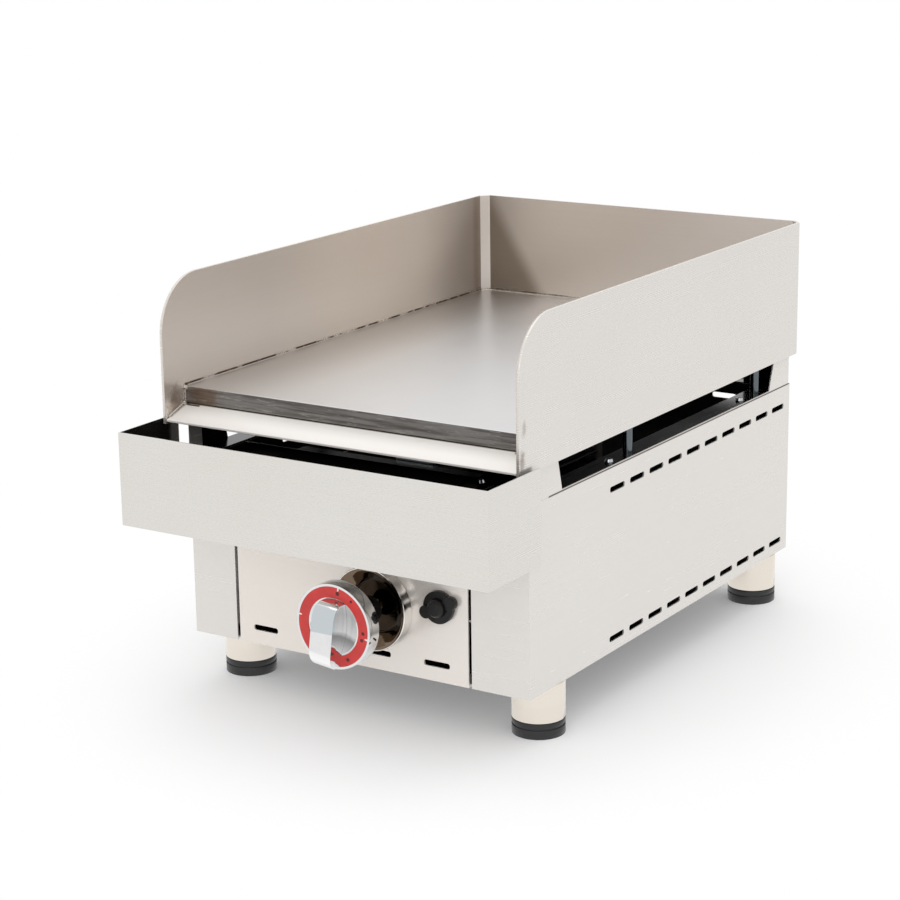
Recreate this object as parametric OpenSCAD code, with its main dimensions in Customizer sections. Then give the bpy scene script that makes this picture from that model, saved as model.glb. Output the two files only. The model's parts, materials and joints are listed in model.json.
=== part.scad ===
// Countertop gas griddle with a fixed steel plate, three-sided splash guard, pull-off grease tray,
// push-and-turn control, piezo igniter and four levelling feet.
// Millimetres, Z up, X right and Y back. The origin lies under the middle of the whole object at z = 0.

/* [Casing] */
// Width of the casing across its side panels
body_width = 330; // [310:5:460]
// Depth of the casing from front face to rear face
body_depth = 470; // [430:5:600]
// Height of the casing panels
body_height = 158; // [150:1:200]
// Height of the casing's bottom edge above the worktop
foot_height = 44.5; // [40:0.5:60]
// Thickness of the casing sheet
sheet = 1.5; // [1:0.1:2]
// Width of each gap beside the control panel
panel_gap = 3; // [2:0.5:4]
// Width of the casing front right of the control panel's gap
right_post_width = 53.3; // [46:0.1:58]
// Width of the casing front left of the control panel's gap
left_post_width = 44; // [40:0.1:52]

/* [Griddle plate] */
// Thickness of the griddle plate
plate_thickness = 15; // [8:1:20]
// Height of the collar that carries the plate above the casing
collar_height = 41; // [38:1:60]

/* [Splash guard] */
// Height of the guard above the cooking surface
guard_height = 94; // [60:1:150]
// Thickness of the guard sheet
guard_sheet = 2.5; // [1.5:0.5:3]
// How far the guard stands out past each side of the casing
guard_overhang = 6.2; // [5:0.1:9]
// How far the guard hangs below the underside of the plate
guard_skirt = 12.2; // [6:0.1:14]
// How far the guard reaches in front of the casing
guard_reach = 24.3; // [18:0.1:30]
// How far the guard stands out past the rear of the casing
guard_back = 8.3; // [6:0.1:14]
// Radius of the guard's upper front corners
guard_corner = 48; // [20:1:55]

/* [Grease tray] */
// How far the tray stands out in front of the casing
tray_reach = 76.4; // [60:0.1:110]
// Height of the tray's front wall
tray_height = 78.2; // [60:0.1:82]
// How far the tray stands out past each side of the casing
tray_overhang = 11; // [10:0.5:20]
// How far the tray's rim stands above the casing's top
tray_rise = 32.4; // [20:0.1:33]

/* [Controls] */
// Diameter of the control knob
knob_diameter = 70; // [56:1:76]
// Distance of the knob's axis right of the middle
knob_x = 21; // [10:1:26]
// Height of the knob's axis above the casing's bottom edge
knob_rise = 54; // [48:1:58]
// Clockwise turn of the knob in its off position, degrees
knob_rest_turn = 7; // [0:1:10]
// Distance of the igniter's axis right of the middle
igniter_x = 83; // [80:1:86]
// Height of the igniter's axis above the casing's bottom edge
igniter_rise = 64; // [54:1:70]

/* [Feet] */
// Diameter of each foot
foot_diameter = 43.7; // [40:0.1:50]
// Height of the black foot base
foot_base_height = 12.9; // [10:0.1:16]

/* [Burner] */
// Diameter of the burner
burner_diameter = 170; // [120:2:190]

/* [Hidden] */

$fn = 64;
eps = 0.01;                 // overshoot of cutters past a face
seat = 0.3;                 // gap between faces of pieces on different bodies
run_fit = 0.06;             // radial running clearance of a shaft in its hole
hole_fit = 0.3;             // radial clearance of a screw in its hole

// main planes
half = body_width / 2;
z_low = foot_height;
z_ledge = z_low + body_height;
z_plate = z_ledge + collar_height;
z_cook = z_plate + plate_thickness;
z_guard = z_cook + guard_height;
inner = half - sheet;       // inner face of a side panel

// flanges and joints of the casing
top_flange = 20;
foot_flange = 36;
rear_flange = 15;
post_return = 15;
post_relief = 13.5;
ledge_depth = 40;
panel_flange = 20;
upstand = 9;
panel_x0 = -half + left_post_width + panel_gap;
panel_x1 = half - right_post_width - panel_gap;
panel_mid = (panel_x0 + panel_x1) / 2;
rear_wall_y = body_depth - 2 * sheet;

// slots
slot_length = 24.5;
slot_height = 4.9;
slot_radius = 2;
slot_count = 10;
slot_first_y = 140.6;
slot_last_y = body_depth - 24.6;
slot_low_rise = 11.4;
slot_high_drop = 18.6;
front_slot_rise = 14.5;
front_slot_half_pitch = 28.3;
rear_slot_count = 6;
rear_slot_pitch = 40;
base_slot_count = 7;
base_slot_length = 90;
base_slot_width = 8;
base_slot_pitch = 34;
base_lip = 9.5;
rear_slot_rise = 12;
front_slot_offset = -1.4;

// collar
window_y0 = 51;
window_y1 = body_depth - 43.5;
window_slope = 0.25;
window_top_drop = 7;
collar_end = body_depth - 2.5;
collar_step = 18;
collar_step_rise = 33;
collar_top_flange = 12;
window_rear_slope = 0.35;
rear_window_half = half - 45;

// guard, plate and chute
guard_x = half + guard_overhang;
guard_in = guard_x - guard_sheet;
guard_end = body_depth + guard_back;
guard_facet = 8;
facet_in = guard_facet + guard_sheet * (sqrt(2) - 1);
weld_gap = 0.5;
plate_front = 2.2;
chute_sheet = 2;
chute_lap = 14;
chute_drop = 8.5;

// studs and screws
stud_radius = 4;
stud_inset = 10;
stud_drop = 15;
stud_ys = [176, body_depth - 54];
nut_height = 6.5;
washer_height = 1.6;
washer_radius = 8;
m4 = 2;
nut_fit = 0.05;              // radial clearance of a nut on its thread
tight_fit = 0.02;           // radial clearance of a screw in its thread
nut_across = 7.5;
m4_nut_across = 4;
m4_nut_height = 3.2;
collar_screw_ys = [142, body_depth - 87];
collar_screw_inset = 9;
rear_screw_rises = [26, 80, 134];
base_screw_inset = 20;
base_screw_length = 10;
retainer_screw_length = 12;
collar_screw_length = 9;

// tray
tray_x = half + tray_overhang;
tray_back = -0.5;
tray_z1 = z_ledge + tray_rise;
tray_z0 = tray_z1 - tray_height;
tongue_half = 88;
tongue_depth = 58;
retainer_gap = 0.6;
retainer_y = 16;
spacer_width = 12;

// gas parts
shield_front = 60;
shield_back = body_depth - 30;
shield_z = z_ledge - 39.5;
shield_edge = 12;
burner_y = body_depth / 2;
burner_r = burner_diameter / 2;
bridge_overhang = 20;
bridge_lap = 15;
bridge_screw_inset = 7;
bridge_z = shield_z + sheet + 11.5;
bridge_half = burner_r + bridge_overhang;
bridge_width = 20;
bowl_height = 24;
bowl_wall = 5;
cap_height = 10;
cap_hole = 25;
port_count = 24;
tube_z = bridge_z + 13;
tube_r = 10;
tube_bore = 7.5;
bell_r = 15;
bell_start = shield_front + 10;
bell_length = 14;
bell_wall = 2.5;
shank_hole = 6;
shank_r = 5.9;
injector_hex = 8.5;
injector_head = 7;
mouth_plate = 18;
knob_z = z_low + knob_rise;
igniter_z = z_low + igniter_rise;
valve_front = 9;
valve_back = 56;
valve_r = 11;
valve_neck_r = 8;
valve_flange_r = 17;
valve_flange = 3;
valve_screw_pitch = 13;
chamber_r = 7;
chamber_y = [14.7, 28];
outlet_r = 6.5;
outlet_rise = 16;
port_r = 7;
port_reach = 20;
plug_r = 6;
plug_reach = 18;
outlet_y = 38;
inlet_y = 46;
pipe_r = 4;
supply_r = 5;
bend = 14;
inlet_x = half - 35;
inlet_z = knob_z;
inlet_r = 10.48;
inlet_neck = inlet_r - 0.2;
inlet_neck_length = 7.5;
inlet_length = 25;
inlet_hex = 14;
inlet_hex_length = 15;
inlet_bore = 6;
locknut_height = 5.5;
lead_rise = 6;
thermocouple_r = 3;
tip_r = 2;
tip_rise = 12;
tip_length = 24;
electrode_x = burner_r + 9;
electrode_r = 4;
electrode_top = bowl_height + 4;
spark_gap_rise = 11;
ignition_rise = 8;

// controls
knob_r = knob_diameter / 2;
knob_face = -60;
knob_back = -47;
knob_travel = 5;
spindle_r = 4;
spindle_end = 30;
hub_r = 11;
dial_in = knob_r - 11;
dial_out = knob_r - 2;
dish_sink = 5;
dish_r = (dial_in * dial_in + dish_sink * dish_sink) / (2 * dish_sink);
dish_y = knob_face + dish_sink - dish_r;
grip_half = 10.5;
grip_front = -76;
grip_gap = 0.4;
grip_end_r = 15;
grip_top = dial_in - grip_gap;
grip_reach = dial_out;
bezel_r = 35;
bezel_depth = 11;
bezel_bore = 21.5;
bezel_rim = 2.5;
bezel_disc_lap = 3;
bezel_disc_fit = 1;
ring_r = 6.6;
ring_y = [15, 20];
shoulder_r = 6;
shoulder_y = [20.3, 22.6];
spindle_seat = 3;
hub_back = -8;
skirt_wall = 1.6;
skirt_web = 8;
dial_sink = 0.6;
dish_gap = 0.1;
igniter_travel = 6;
igniter_end = 40;
igniter_r = 10;
igniter_bezel_r = 13.5;
igniter_bezel_depth = 4.5;
igniter_nose_r = 4;
igniter_nose = 4;
igniter_nut_across = 14;
igniter_nut_height = 5;
button_front = -8;
button_back = 4;
button_dome = 2.5;
button_bevel = 2;
button_r = 7.5;
ear_r = 5.4;
ear_reach = 12;
ear_depth = 6;
ear_tilt = 24;

// feet
foot_r = foot_diameter / 2;
foot_x = half - 20.5;
foot_ys = [47.8, body_depth - 30.5];
foot_wall = 2.4;
foot_cap = 5;
spigot_r = 8;
spigot_height = 12;
foot_stud_r = 4;
foot_travel = 10;
foot_nut_across = 14;
foot_nut_height = 6;
groove_drop = 5.5;
groove_width = 1.6;
groove_depth = 0.8;
inner_base_rise = 10;

// the whole object is centred on its overall depth
y_end = body_depth - 3 + inlet_length;
y_shift = -(y_end - tray_reach) / 2;

// ---------- helpers ----------
// block between two corners
module block(x, y, z) {
    translate([x[0], y[0], z[0]]) cube([x[1] - x[0], y[1] - y[0], z[1] - z[0]]);
}

// rod along Y from y0 to y1
module rod_y(x, z, r, y0, y1) {
    translate([x, y0, z]) rotate([-90, 0, 0]) cylinder(r = r, h = y1 - y0);
}

// rod along X from x0 to x1
module rod_x(y, z, r, x0, x1) {
    translate([x0, y, z]) rotate([0, 90, 0]) cylinder(r = r, h = x1 - x0);
}

// hexagonal rod along Y
module hex_y(x, z, r, y0, y1) {
    translate([x, y0, z]) rotate([-90, 0, 0]) cylinder(r = r, h = y1 - y0, $fn = 6);
}

// straight wire between two points
module wire(a, b, r) {
    d = b - a;
    l = norm(d);
    translate(a) rotate([0, acos(d[2] / l), atan2(d[1], d[0])]) cylinder(r = r, h = l);
}

// wire through a list of points, with a bead at each inner corner
module lead(points, r, bead) {
    for (i = [0 : len(points) - 2]) wire(points[i], points[i + 1], r);
    for (i = [1 : len(points) - 2]) translate(points[i]) sphere(r = bead);
}

// rounded slot seen along Z, centred
module slot_2d(length, height, radius) {
    square([length - 2 * radius, height], center = true);
    square([length, height - 2 * radius], center = true);
    for (x = [-1, 1], y = [-1, 1])
        translate([x * (length / 2 - radius), y * (height / 2 - radius)]) circle(r = radius);
}

// slot cutter through a wall that faces X
module slot_x(x, y, z) {
    translate([x, y, z]) rotate([90, 0, 90])
        linear_extrude(3 * sheet, center = true) slot_2d(slot_length, slot_height, slot_radius);
}

// slot cutter through a wall that faces Y
module slot_y(x, y, z) {
    translate([x, y, z]) rotate([90, 0, 0])
        linear_extrude(3 * sheet, center = true) slot_2d(slot_length, slot_height, slot_radius);
}

// pan-head screw: head above z = 0, shank below, crossed recess
module pan_screw(r, length) {
    head_r = 1.9 * r;
    head_h = 1.1 * r;
    difference() {
        cylinder(r1 = head_r, r2 = 0.8 * head_r, h = head_h);
        for (a = [0, 90]) rotate([0, 0, a])
            translate([0, 0, head_h]) cube([1.1 * head_r, 0.35 * r, head_h], center = true);
    }
    translate([0, 0, -length]) cylinder(r = r, h = length);
}

// hexagonal nut standing on z = 0
module nut(r_corner, r_hole, h) {
    difference() {
        cylinder(r = r_corner, h = h, $fn = 6);
        translate([0, 0, -eps]) cylinder(r = r_hole, h = h + 2 * eps);
    }
}

// ---------- casing ----------
// right-hand side panel; post is the width of its front return
module side_panel(post) {
    z_high = z_ledge - slot_high_drop;
    edge = half - post;
    difference() {
        union() {
            block([inner, half], [0, body_depth], [z_low, z_ledge]);
            block([half - top_flange, half], [0, body_depth - sheet - seat], [z_ledge - sheet, z_ledge]);
            block([half - foot_flange, half], [0, body_depth], [z_low, z_low + sheet]);
            block([edge, half], [0, sheet], [z_low, z_ledge]);
            block([edge, edge + sheet], [0, post_return], [z_low + post_relief, z_ledge]);
            block([half - rear_flange, half], [body_depth - sheet, body_depth], [z_low, z_ledge]);
        }
        for (i = [0 : slot_count - 1], z = [z_low + slot_low_rise, z_high])
            slot_x(half - sheet / 2, slot_first_y + i * (slot_last_y - slot_first_y) / (slot_count - 1), z);
        for (y = foot_ys) translate([foot_x, y, z_low - eps])
            cylinder(r = spigot_r + hole_fit, h = sheet + 2 * eps);
        for (y = stud_ys) translate([half - stud_inset, y, z_ledge - 2 * sheet])
            cylinder(r = stud_radius + hole_fit, h = 3 * sheet);
        for (y = collar_screw_ys) translate([half - collar_screw_inset, y, z_ledge - 2 * sheet])
            cylinder(r = m4 + hole_fit, h = 3 * sheet);
        for (z = rear_screw_rises) rod_y(half - rear_flange / 2, z_low + z, m4 + hole_fit,
            body_depth - 2 * sheet, body_depth + sheet);
    }
}

module side_panel_left() {
    color("gainsboro") mirror([1, 0, 0]) side_panel(left_post_width);
}

module side_panel_right() {
    color("gainsboro") side_panel(right_post_width);
}

module base_plate() {
    wide = inner - seat;
    color("silver") difference() {
        union() {
            block([-wide, wide], [sheet + seat, body_depth - sheet], [z_low + sheet, z_low + 2 * sheet]);
            block([panel_x0, panel_x1], [sheet + seat, 2 * sheet + seat],
                [z_low + sheet, z_low + sheet + base_lip]);
        }
        for (x = [-1, 1], y = foot_ys) translate([x * foot_x, y, z_low])
            cylinder(r = spigot_r + hole_fit, h = 3 * sheet);
        for (i = [0 : base_slot_count - 1])
            translate([panel_mid, burner_y + (i - (base_slot_count - 1) / 2) * base_slot_pitch, z_low + sheet])
            cube([base_slot_length, base_slot_width, 4 * sheet], center = true);
        for (x = base_screw_xs()) translate([x, panel_flange / 2, z_low])
            cylinder(r = m4 + hole_fit, h = 3 * sheet);
    }
}

function base_screw_xs() = [panel_x0 + base_screw_inset, panel_mid, panel_x1 - base_screw_inset];

module rear_panel() {
    wide = inner - seat;
    color("silver") difference() {
        union() {
            block([-wide, wide], [rear_wall_y, rear_wall_y + sheet],
                [z_low + 2 * sheet, z_ledge - sheet - seat]);
            block([-half + top_flange + seat, half - top_flange - seat],
                [rear_wall_y - top_flange, rear_wall_y + sheet], [z_ledge - sheet, z_ledge]);
            block([-half + top_flange + seat, half - top_flange - seat],
                [rear_wall_y, rear_wall_y + sheet], [z_low + 2 * sheet, z_ledge]);
        }
        for (i = [0 : rear_slot_count - 1], z = [z_low + slot_low_rise + rear_slot_rise,
            z_ledge - slot_high_drop])
            slot_y((i - (rear_slot_count - 1) / 2) * rear_slot_pitch, rear_wall_y + sheet / 2, z);
        rod_y(inlet_x, inlet_z, inlet_r + hole_fit, rear_wall_y - sheet, rear_wall_y + 2 * sheet);
        for (x = [-1, 1], z = rear_screw_rises) rod_y(x * (half - rear_flange / 2), z_low + z,
            m4 + hole_fit, rear_wall_y - sheet, rear_wall_y + 2 * sheet);
    }
}

module control_panel() {
    color("gainsboro") difference() {
        union() {
            block([panel_x0, panel_x1], [0, sheet], [z_low, z_ledge]);
            block([panel_x0, panel_x1], [0, ledge_depth], [z_ledge - sheet, z_ledge]);
            block([panel_x0, panel_x1], [0, panel_flange], [z_low, z_low + sheet]);
        }
        for (i = [-3 : 2 : 3]) slot_y(panel_mid + front_slot_offset + i * front_slot_half_pitch, sheet / 2,
            z_low + front_slot_rise);
        rod_y(knob_x, knob_z, bezel_bore, -sheet, 2 * sheet);
        rod_y(igniter_x, igniter_z, igniter_r + hole_fit, -sheet, 2 * sheet);
        for (x = base_screw_xs()) translate([x, panel_flange / 2, z_low - sheet])
            cylinder(r = m4 + hole_fit, h = 3 * sheet);
        for (x = retainer_xs()) translate([x, retainer_y + ledge_depth / 3, z_ledge - 2 * sheet])
            cylinder(r = m4 + hole_fit, h = 3 * sheet);
    }
}

function retainer_xs() = [panel_x0 + spacer_width / 2, panel_x1 - spacer_width / 2];

// cross angle that holds the tray's tongue down on the panel's ledge
module tray_retainer() {
    z0 = z_ledge + seat + sheet + retainer_gap;
    color("dimgray") difference() {
        union() {
            block([panel_x0, panel_x1], [retainer_y, ledge_depth], [z0, z0 + sheet]);
            block([panel_x0, panel_x1], [retainer_y, retainer_y + sheet], [z0, z0 + upstand]);
            block([panel_x0, panel_x0 + spacer_width], [retainer_y, ledge_depth], [z_ledge, z0]);
            block([panel_x1 - spacer_width, panel_x1], [retainer_y, ledge_depth], [z_ledge, z0]);
        }
        for (x = retainer_xs()) translate([x, retainer_y + ledge_depth / 3, z_ledge - sheet])
            cylinder(r = m4 + hole_fit, h = 4 * sheet);
    }
}

module retainer_screws() {
    z0 = z_ledge + seat + 2 * sheet + retainer_gap;
    color("silver") for (x = retainer_xs()) translate([x, retainer_y + ledge_depth / 3, z0])
        pan_screw(m4, retainer_screw_length);
}

module rear_panel_screws() {
    color("silver") for (x = [-1, 1], z = rear_screw_rises)
        translate([x * (half - rear_flange / 2), body_depth, z_low + z])
            rotate([-90, 0, 0]) pan_screw(m4, base_screw_length);
}

module base_screws() {
    color("silver") for (x = base_screw_xs()) translate([x, panel_flange / 2, z_low])
        rotate([180, 0, 0]) pan_screw(m4, base_screw_length);
}

// ---------- collar between casing and plate ----------
module collar_side() {
    z_step = z_ledge + collar_step_rise;
    z_top = z_plate - window_top_drop;
    rise = z_top - z_ledge - sheet;
    difference() {
        union() {
            block([inner, half], [0, collar_end], [z_ledge, z_step]);
            block([inner, half], [collar_step, collar_end], [z_ledge, z_plate]);
            block([half - top_flange, half], [0, collar_end - 2 * sheet], [z_ledge, z_ledge + sheet]);
            block([half - collar_top_flange, half], [collar_step, collar_end - 2 * sheet],
                [z_plate - sheet, z_plate]);
        }
        translate([inner - sheet, 0, z_ledge + sheet]) rotate([90, 0, 90]) linear_extrude(3 * sheet)
            polygon([[window_y0, 0], [window_y1, 0], [window_y1 + window_rear_slope * rise, rise],
                [window_y0 - window_slope * rise, rise]]);
        for (y = stud_ys) translate([half - stud_inset, y, z_ledge - eps])
            cylinder(r = stud_radius + hole_fit, h = collar_height + 2 * eps);
        for (y = collar_screw_ys) translate([half - collar_screw_inset, y, z_ledge - sheet])
            cylinder(r = m4 + hole_fit, h = 3 * sheet);
    }
}

module collar_left() {
    color("gainsboro") mirror([1, 0, 0]) collar_side();
}

module collar_right() {
    color("gainsboro") collar_side();
}

module collar_rear() {
    wide = inner - seat;
    color("gainsboro") difference() {
        union() {
            block([-wide, wide], [collar_end - sheet, collar_end], [z_ledge, z_plate]);
            block([-half + top_flange + seat, half - top_flange - seat],
                [collar_end - top_flange, collar_end], [z_ledge, z_ledge + sheet]);
        }
        block([-rear_window_half, rear_window_half], [collar_end - 2 * sheet, collar_end + sheet],
            [z_ledge + 2 * sheet, z_plate - window_top_drop]);
    }
}

module collar_screws() {
    color("silver") for (x = [-1, 1], y = collar_screw_ys)
        translate([x * (half - collar_screw_inset), y, z_ledge + sheet])
            pan_screw(m4, collar_screw_length);
}

module collar_nuts() {
    color("silver") for (x = [-1, 1], y = collar_screw_ys)
        translate([x * (half - collar_screw_inset), y, z_ledge - sheet - m4_nut_height])
            nut(m4_nut_across, m4 + nut_fit, m4_nut_height);
}

module plate_studs() {
    color("silver") for (x = [-1, 1], y = stud_ys)
        translate([x * (half - stud_inset), y, z_ledge - stud_drop])
            cylinder(r = stud_radius, h = stud_drop + collar_height);
}

module stud_washers() {
    color("silver") for (x = [-1, 1], y = stud_ys)
        translate([x * (half - stud_inset), y, z_ledge - sheet - washer_height]) difference() {
            cylinder(r = washer_radius, h = washer_height);
            translate([0, 0, -eps]) cylinder(r = stud_radius + 0.2, h = washer_height + 2 * eps);
        }
}

module stud_nuts() {
    color("silver") for (x = [-1, 1], y = stud_ys)
        translate([x * (half - stud_inset), y, z_ledge - sheet - washer_height - nut_height])
            nut(nut_across, stud_radius + nut_fit, nut_height);
}

// ---------- plate, guard and chute ----------
module griddle_plate() {
    px = guard_in - weld_gap;
    py = guard_end - guard_sheet - weld_gap;
    cut = facet_in - guard_sheet + weld_gap * (sqrt(2) - 1);
    color("lightgray") translate([0, 0, z_plate]) linear_extrude(plate_thickness)
        polygon([[-px, plate_front], [px, plate_front], [px, py - cut], [px - cut, py],
            [-px + cut, py], [-px, py - cut]]);
}

module guard_cutter() {
    difference() {
        block([-guard_x - sheet, guard_x + sheet], [-guard_reach - eps, -guard_reach + guard_corner],
            [z_guard - guard_corner, z_guard + eps]);
        rod_x(-guard_reach + guard_corner, z_guard - guard_corner, guard_corner,
            -guard_x - 2 * sheet, guard_x + 2 * sheet);
    }
}

module splash_guard() {
    z0 = z_plate - guard_skirt;
    yo = guard_end - guard_facet;
    yi = guard_end - facet_in;
    color("gainsboro") difference() {
        translate([0, 0, z0]) linear_extrude(z_guard - z0) polygon([
            [guard_x, -guard_reach], [guard_x, yo], [guard_x - guard_facet, guard_end],
            [-guard_x + guard_facet, guard_end], [-guard_x, yo], [-guard_x, -guard_reach],
            [-guard_in, -guard_reach], [-guard_in, yi], [-guard_x + facet_in, guard_end - guard_sheet],
            [guard_x - facet_in, guard_end - guard_sheet], [guard_in, yi], [guard_in, -guard_reach]]);
        guard_cutter();
    }
}

module grease_chute() {
    wide = guard_in - weld_gap;
    narrow = half - collar_top_flange - seat;
    run = guard_reach + plate_front - 2 * seat;
    slope = chute_drop / run;
    z_seam = z_plate - slope * plate_front;
    z_lip = z_plate - chute_drop;
    color("gainsboro") {
        translate([-wide, 0, 0]) rotate([90, 0, 90]) linear_extrude(2 * wide) polygon([
            [-guard_reach + seat, z_lip], [-seat, z_seam], [-seat, z_seam - chute_sheet],
            [-guard_reach + seat, z_lip - chute_sheet]]);
        translate([-narrow, 0, 0]) rotate([90, 0, 90]) linear_extrude(2 * narrow) polygon([
            [-seat, z_seam], [plate_front - seat, z_plate], [plate_front + chute_lap, z_plate],
            [plate_front + chute_lap, z_plate - chute_sheet], [plate_front, z_plate - chute_sheet],
            [-seat, z_seam - chute_sheet]]);
    }
}

// ---------- burner ----------
module heat_shield() {
    color("dimgray") difference() {
        block([-inner, inner], [shield_front, shield_back], [shield_z, shield_z + sheet]);
        shield_holes();
    }
    color("dimgray") {
        for (x = [-inner, inner - sheet])
            block([x, x + sheet], [shield_front, shield_back], [shield_z - shield_edge, shield_z]);
    }
}

// hat-shaped strip that carries the burner above the heat shield
module burner_bridge() {
    y = [burner_y - bridge_width / 2, burner_y + bridge_width / 2];
    zs = shield_z + sheet;
    leg = bridge_half - bridge_lap;
    color("dimgray") difference() {
        union() {
            block([-leg, leg], y, [bridge_z - sheet, bridge_z]);
            for (m = [0, 1]) mirror([m, 0, 0]) {
                block([leg - sheet, leg], y, [zs, bridge_z]);
                block([leg - sheet, bridge_half], y, [zs, zs + sheet]);
            }
        }
        for (x = [-1, 1]) translate([x * (bridge_half - bridge_screw_inset), burner_y, zs - sheet])
            cylinder(r = m4 + hole_fit, h = 4 * sheet);
    }
}

module bridge_screws() {
    color("silver") for (x = [-1, 1])
        translate([x * (bridge_half - bridge_screw_inset), burner_y, shield_z + 2 * sheet]) pan_screw(m4, 8);
}

module shield_holes() {
    for (x = [-1, 1]) translate([x * (bridge_half - bridge_screw_inset), burner_y, shield_z - sheet])
        cylinder(r = m4 + hole_fit, h = 3 * sheet);
}

module burner_bowl() {
    color("#2b2b2b") translate([0, burner_y, bridge_z]) difference() {
        cylinder(r = burner_r, h = bowl_height);
        translate([0, 0, bowl_wall]) cylinder(r = burner_r - bowl_wall, h = bowl_height);
        translate([knob_x, -burner_y, -bridge_z])
            rod_y(0, tube_z, tube_r + 0.1, burner_y - burner_r - bowl_wall, burner_y - burner_r / 2);
    }
}

module burner_cap() {
    rim = burner_r - 8;
    color("#2b2b2b") translate([0, burner_y, bridge_z + bowl_height]) difference() {
        union() {
            cylinder(r = burner_r, h = cap_height);
            translate([0, 0, cap_height]) cylinder(r1 = rim, r2 = rim - 14, h = 6);
        }
        translate([0, 0, -eps]) cylinder(r = cap_hole, h = cap_height + 8);
        for (i = [0 : port_count - 1]) rotate([0, 0, i * 360 / port_count])
            rod_x(0, cap_height / 2, 2, burner_r - 12, burner_r + 2);
    }
}

module mixing_tube() {
    y1 = burner_y - sqrt(burner_r * burner_r - knob_x * knob_x) + bowl_wall;
    color("#333333") difference() {
        union() {
            rod_y(knob_x, tube_z, tube_r, bell_start + bell_length / 2, y1);
            translate([knob_x, bell_start, tube_z]) rotate([-90, 0, 0])
                cylinder(r1 = bell_r, r2 = tube_r, h = bell_length);
        }
        rod_y(knob_x, tube_z, tube_bore, bell_start + bell_length / 2, y1 + eps);
        translate([knob_x, bell_start - eps, tube_z]) rotate([-90, 0, 0])
            cylinder(r1 = bell_r - bell_wall, r2 = tube_bore, h = bell_length - bell_wall);
    }
}

module air_shutter() {
    y0 = shield_front + 2;
    y1 = bell_start + 5;
    window = [10, 4, 12];
    color("silver") difference() {
        rod_y(knob_x, tube_z, bell_r + sheet, y0, y1);
        rod_y(knob_x, tube_z, bell_r + 0.2, y0 - 1, y1 + 1);
        for (a = [0 : 90 : 270]) translate([knob_x, y0 + window[1], tube_z]) rotate([0, a, 0])
            translate([bell_r, 0, 0]) cube(window, center = true);
    }
}

module injector_bracket() {
    zs = shield_z + sheet;
    x = [knob_x - mouth_plate, knob_x + mouth_plate];
    thick = 2;
    lap = 20;
    color("silver") difference() {
        union() {
            block(x, [shield_front, shield_front + thick], [zs, tube_z + mouth_plate]);
            block(x, [shield_front, shield_front + lap], [zs, zs + thick]);
        }
        rod_y(knob_x, tube_z, shank_hole, shield_front - 1, shield_front + thick + 1);
    }
}

module injector() {
    shank = 7;
    tip = 6;
    jet_r = 0.8;
    bore_r = 2.5;
    color("goldenrod") difference() {
        union() {
            hex_y(knob_x, tube_z, injector_hex, shield_front - injector_head, shield_front);
            rod_y(knob_x, tube_z, shank_r, shield_front, shield_front + shank);
            translate([knob_x, shield_front + shank, tube_z]) rotate([-90, 0, 0])
                cylinder(r1 = shank_r - 1, r2 = 3, h = tip);
        }
        rod_y(knob_x, tube_z, jet_r, shield_front, shield_front + shank + tip + 1);
        rod_y(knob_x, tube_z, bore_r, shield_front - injector_head - 1, shield_front + shank / 2);
    }
}

// ---------- gas train ----------
module burner_pipe() {
    y1 = shield_front - injector_head;
    z0 = knob_z + outlet_rise;
    color("#b87333") {
        translate([knob_x, outlet_y, z0]) cylinder(r = pipe_r, h = tube_z - bend - z0);
        translate([knob_x, outlet_y + bend, tube_z - bend]) rotate([90, 0, -90])
            rotate_extrude(angle = 90) translate([bend, 0]) circle(r = pipe_r);
        rod_y(knob_x, tube_z, pipe_r, outlet_y + bend, y1);
    }
}

module valve_bracket() {
    w = 30;
    h = 26;
    color("silver") difference() {
        union() {
            block([knob_x - w, knob_x + w], [valve_front - sheet, valve_front],
                [knob_z - h, knob_z + h]);
            for (s = [-1, 1]) block([knob_x + s * w - sheet / 2, knob_x + s * w + sheet / 2],
                [sheet, valve_front], [knob_z - h, knob_z + h]);
        }
        rod_y(knob_x, knob_z, valve_neck_r + hole_fit, 0, valve_front + 1);
        for (s = [-1, 1]) rod_y(knob_x, knob_z + valve_screw_pitch * s, m4 + hole_fit, 0, valve_front + 1);
    }
}

module valve_screws() {
    color("silver") for (s = [-1, 1])
        translate([knob_x, valve_front - sheet, knob_z + valve_screw_pitch * s])
            rotate([90, 0, 0]) pan_screw(m4, valve_flange + 1);
}

// tap body with a bore for the spindle and a chamber for the thrust ring
module valve_body() {
    bore = spindle_r + run_fit;
    color("goldenrod") difference() {
        union() {
            rod_y(knob_x, knob_z, valve_neck_r, 2 * sheet, valve_front);
            rod_y(knob_x, knob_z, valve_flange_r, valve_front, valve_front + valve_flange);
            rod_y(knob_x, knob_z, valve_r, valve_front + valve_flange, valve_back);
            translate([knob_x, outlet_y, knob_z]) cylinder(r = outlet_r, h = outlet_rise);
            rod_x(inlet_y, knob_z, port_r, knob_x, knob_x + port_reach);
            rod_x(inlet_y, knob_z, plug_r, knob_x - plug_reach, knob_x);
        }
        for (s = [-1, 1]) rod_y(knob_x, knob_z + valve_screw_pitch * s, m4 + tight_fit,
            valve_front - 1, valve_front + valve_flange + 1);
        rod_y(knob_x, knob_z, bore, 0, spindle_end + knob_travel + 1);
        rod_y(knob_x, knob_z, chamber_r, chamber_y[0], chamber_y[1]);
    }
}

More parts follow.
